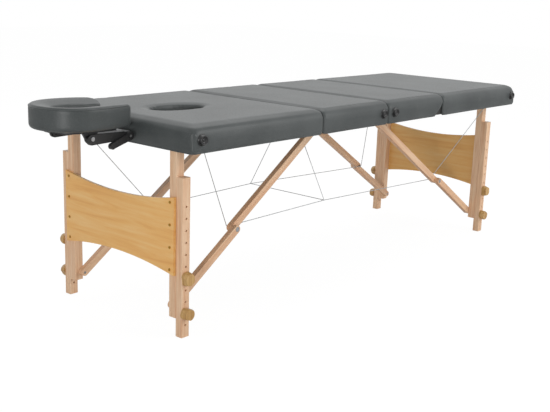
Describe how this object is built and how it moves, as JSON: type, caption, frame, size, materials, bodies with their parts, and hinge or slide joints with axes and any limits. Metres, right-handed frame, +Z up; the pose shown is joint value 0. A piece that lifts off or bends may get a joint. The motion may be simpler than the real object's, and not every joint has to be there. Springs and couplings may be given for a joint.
{
  "type": "folding massage table",
  "caption": "Folding upholstered massage table with a face hole, a tilting face cradle on posts, height-adjustable wooden legs, folding braces and stay cables.",
  "frame": {"origin": "on the floor, under the middle of the bounding box", "axes": "+X from the face cradle to the foot end, +Y to the side without bumper feet, +Z up"},
  "size_m": [2.132, 0.652, 0.6612],
  "materials": {
    "vinyl": "soft grained vinyl cover, satin",
    "beech": "clear satin lacquer",
    "plywood": "clear satin lacquer",
    "knob_wood": "turned and lacquered",
    "brass": "polished",
    "cable": "stranded",
    "bumper": "smooth",
    "cradle_plastic": "fine grain",
    "steel": "zinc plated"
  },
  "bodies": {
    "head_base": {"head_side_rails": "beech", "head_hinge_rail": "beech", "head_frame": "vinyl", "head_cushion": "vinyl", "middle_head_frame": "vinyl", "middle_head_cushion": "vinyl", "hinge_leaf_head": "steel", "head_pivot_hardware": "steel", "head_bumper": "bumper", "middle_head_bumper": "bumper", "head_cables": "cable", "headrest_sockets": "steel"},
    "foot_base": {"foot_side_rails": "beech", "foot_hinge_rail": "beech", "middle_foot_frame": "vinyl", "middle_foot_cushion": "vinyl", "hinge_leaf_foot": "steel", "foot_pivot_hardware": "steel", "middle_foot_bumper": "bumper", "foot_cables": "cable"},
    "foot_section": {"foot_frame": "vinyl", "foot_cushion": "vinyl", "foot_bumper": "bumper"},
    "head_legs": {"head_upper_legs": "beech", "head_end_panel": "plywood", "head_panel_screws": "brass", "head_leg_bolts": "steel"},
    "head_upper_brace": {"head_upper_braces": "beech", "head_brace_eyes": "steel"},
    "head_lower_brace": {"head_lower_braces": "beech", "head_brace_bolts": "steel"},
    "head_lower_leg_near": {"head_lower_leg_near": "beech"},
    "head_knob_near_low": {"head_knob_near_low": "knob_wood"},
    "head_knob_near_high": {"head_knob_near_high": "knob_wood"},
    "head_lower_leg_far": {"head_lower_leg_far": "beech"},
    "head_knob_far_low": {"head_knob_far_low": "knob_wood"},
    "head_knob_far_high": {"head_knob_far_high": "knob_wood"},
    "foot_legs": {"foot_upper_legs": "beech", "foot_end_panel": "plywood", "foot_panel_screws": "brass", "foot_leg_bolts": "steel"},
    "foot_upper_brace": {"foot_upper_braces": "beech", "foot_brace_eyes": "steel"},
    "foot_lower_brace": {"foot_lower_braces": "beech", "foot_brace_bolts": "steel"},
    "foot_lower_leg_near": {"foot_lower_leg_near": "beech"},
    "foot_knob_near_low": {"foot_knob_near_low": "knob_wood"},
    "foot_knob_near_high": {"foot_knob_near_high": "knob_wood"},
    "foot_lower_leg_far": {"foot_lower_leg_far": "beech"},
    "foot_knob_far_low": {"foot_knob_far_low": "knob_wood"},
    "foot_knob_far_high": {"foot_knob_far_high": "knob_wood"},
    "headrest": {"headrest_posts": "steel"},
    "cradle_arm_pair": {"cradle_arms": "cradle_plastic", "cradle_rivets": "steel"},
    "cradle_top": {"cradle_platform": "cradle_plastic", "cradle_cushion": "vinyl"},
    "cradle_lever": {"cam_lever": "cradle_plastic"}
  },
  "joints": [
    {"name": "center_fold", "type": "hinge", "parent": "head_base", "child": "foot_base", "pos_m": [0.136, 0.006, 0.5415], "axis": [0, 1, 0], "range_deg": [0, 90], "deforming": ["head_cables", "foot_cables"]},
    {"name": "foot_lift", "type": "hinge", "parent": "foot_base", "child": "foot_section", "pos_m": [0.496, 0.006, 0.619], "axis": [0, -1, 0], "range_deg": [0, 40]},
    {"name": "head_leg_fold", "type": "hinge", "parent": "head_base", "child": "head_legs", "pos_m": [-0.77, 0.006, 0.566], "axis": [0, -1, 0], "range_deg": [0, 90]},
    {"name": "head_upper_brace_turn", "type": "hinge", "parent": "head_base", "child": "head_upper_brace", "pos_m": [-0.054, 0.006, 0.575], "axis": [0, 1, 0], "range_deg": [0, 35]},
    {"name": "head_lower_brace_turn", "type": "hinge", "parent": "head_legs", "child": "head_lower_brace", "pos_m": [-0.761, 0.006, 0.08], "axis": [0, -1, 0], "range_deg": [0, 55]},
    {"name": "head_lower_leg_near_slide", "type": "slide", "parent": "head_legs", "child": "head_lower_leg_near", "axis": [0, 0, 1], "range_m": [-0.21, 0]},
    {"name": "head_knob_near_low_turn", "type": "hinge", "parent": "head_legs", "child": "head_knob_near_low", "pos_m": [-0.77, -0.278, 0.072], "axis": [0, -1, 0], "continuous": true},
    {"name": "head_knob_near_high_turn", "type": "hinge", "parent": "head_legs", "child": "head_knob_near_high", "pos_m": [-0.77, -0.278, 0.177], "axis": [0, -1, 0], "continuous": true},
    {"name": "head_lower_leg_far_slide", "type": "slide", "parent": "head_legs", "child": "head_lower_leg_far", "axis": [0, 0, 1], "range_m": [-0.21, 0]},
    {"name": "head_knob_far_low_turn", "type": "hinge", "parent": "head_legs", "child": "head_knob_far_low", "pos_m": [-0.77, 0.29, 0.072], "axis": [0, 1, 0], "continuous": true},
    {"name": "head_knob_far_high_turn", "type": "hinge", "parent": "head_legs", "child": "head_knob_far_high", "pos_m": [-0.77, 0.29, 0.177], "axis": [0, 1, 0], "continuous": true},
    {"name": "foot_leg_fold", "type": "hinge", "parent": "foot_base", "child": "foot_legs", "pos_m": [0.956, 0.006, 0.566], "axis": [0, 1, 0], "range_deg": [0, 90]},
    {"name": "foot_upper_brace_turn", "type": "hinge", "parent": "foot_base", "child": "foot_upper_brace", "pos_m": [0.172, 0.006, 0.575], "axis": [0, -1, 0], "range_deg": [0, 32.57]},
    {"name": "foot_lower_brace_turn", "type": "hinge", "parent": "foot_legs", "child": "foot_lower_brace", "pos_m": [0.947, 0.006, 0.08], "axis": [0, 1, 0], "range_deg": [0, 57.43]},
    {"name": "foot_lower_leg_near_slide", "type": "slide", "parent": "foot_legs", "child": "foot_lower_leg_near", "axis": [0, 0, 1], "range_m": [-0.21, 0]},
    {"name": "foot_knob_near_low_turn", "type": "hinge", "parent": "foot_legs", "child": "foot_knob_near_low", "pos_m": [0.956, -0.278, 0.072], "axis": [0, -1, 0], "continuous": true},
    {"name": "foot_knob_near_high_turn", "type": "hinge", "parent": "foot_legs", "child": "foot_knob_near_high", "pos_m": [0.956, -0.278, 0.177], "axis": [0, -1, 0], "continuous": true},
    {"name": "foot_lower_leg_far_slide", "type": "slide", "parent": "foot_legs", "child": "foot_lower_leg_far", "axis": [0, 0, 1], "range_m": [-0.21, 0]},
    {"name": "foot_knob_far_low_turn", "type": "hinge", "parent": "foot_legs", "child": "foot_knob_far_low", "pos_m": [0.956, 0.29, 0.072], "axis": [0, 1, 0], "continuous": true},
    {"name": "foot_knob_far_high_turn", "type": "hinge", "parent": "foot_legs", "child": "foot_knob_far_high", "pos_m": [0.956, 0.29, 0.177], "axis": [0, 1, 0], "continuous": true},
    {"name": "headrest_slide", "type": "slide", "parent": "head_base", "child": "headrest", "axis": [-1, 0, 0], "range_m": [0, 0.08]},
    {"name": "cradle_arm_tilt", "type": "hinge", "parent": "headrest", "child": "cradle_arm_pair", "pos_m": [-0.822, 0.006, 0.568], "axis": [0, 1, 0], "range_deg": [-20, 20]},
    {"name": "cradle_tilt", "type": "hinge", "parent": "cradle_arm_pair", "child": "cradle_top", "pos_m": [-0.946, 0.006, 0.57], "axis": [0, -1, 0], "range_deg": [0, 20]},
    {"name": "cam_lever_turn", "type": "hinge", "parent": "headrest", "child": "cradle_lever", "pos_m": [-0.822, -0.088, 0.568], "axis": [0, -1, 0], "range_deg": [0, 70]}
  ],
  "couplings": [
    {"joint": "head_leg_fold", "follows": "center_fold", "ratio": 1},
    {"joint": "head_upper_brace_turn", "follows": "center_fold", "ratio": 0.38886},
    {"joint": "head_lower_brace_turn", "follows": "center_fold", "ratio": 0.61114},
    {"joint": "foot_leg_fold", "follows": "center_fold", "ratio": 1},
    {"joint": "foot_upper_brace_turn", "follows": "center_fold", "ratio": 0.36185},
    {"joint": "foot_lower_brace_turn", "follows": "center_fold", "ratio": 0.63815}
  ]
}
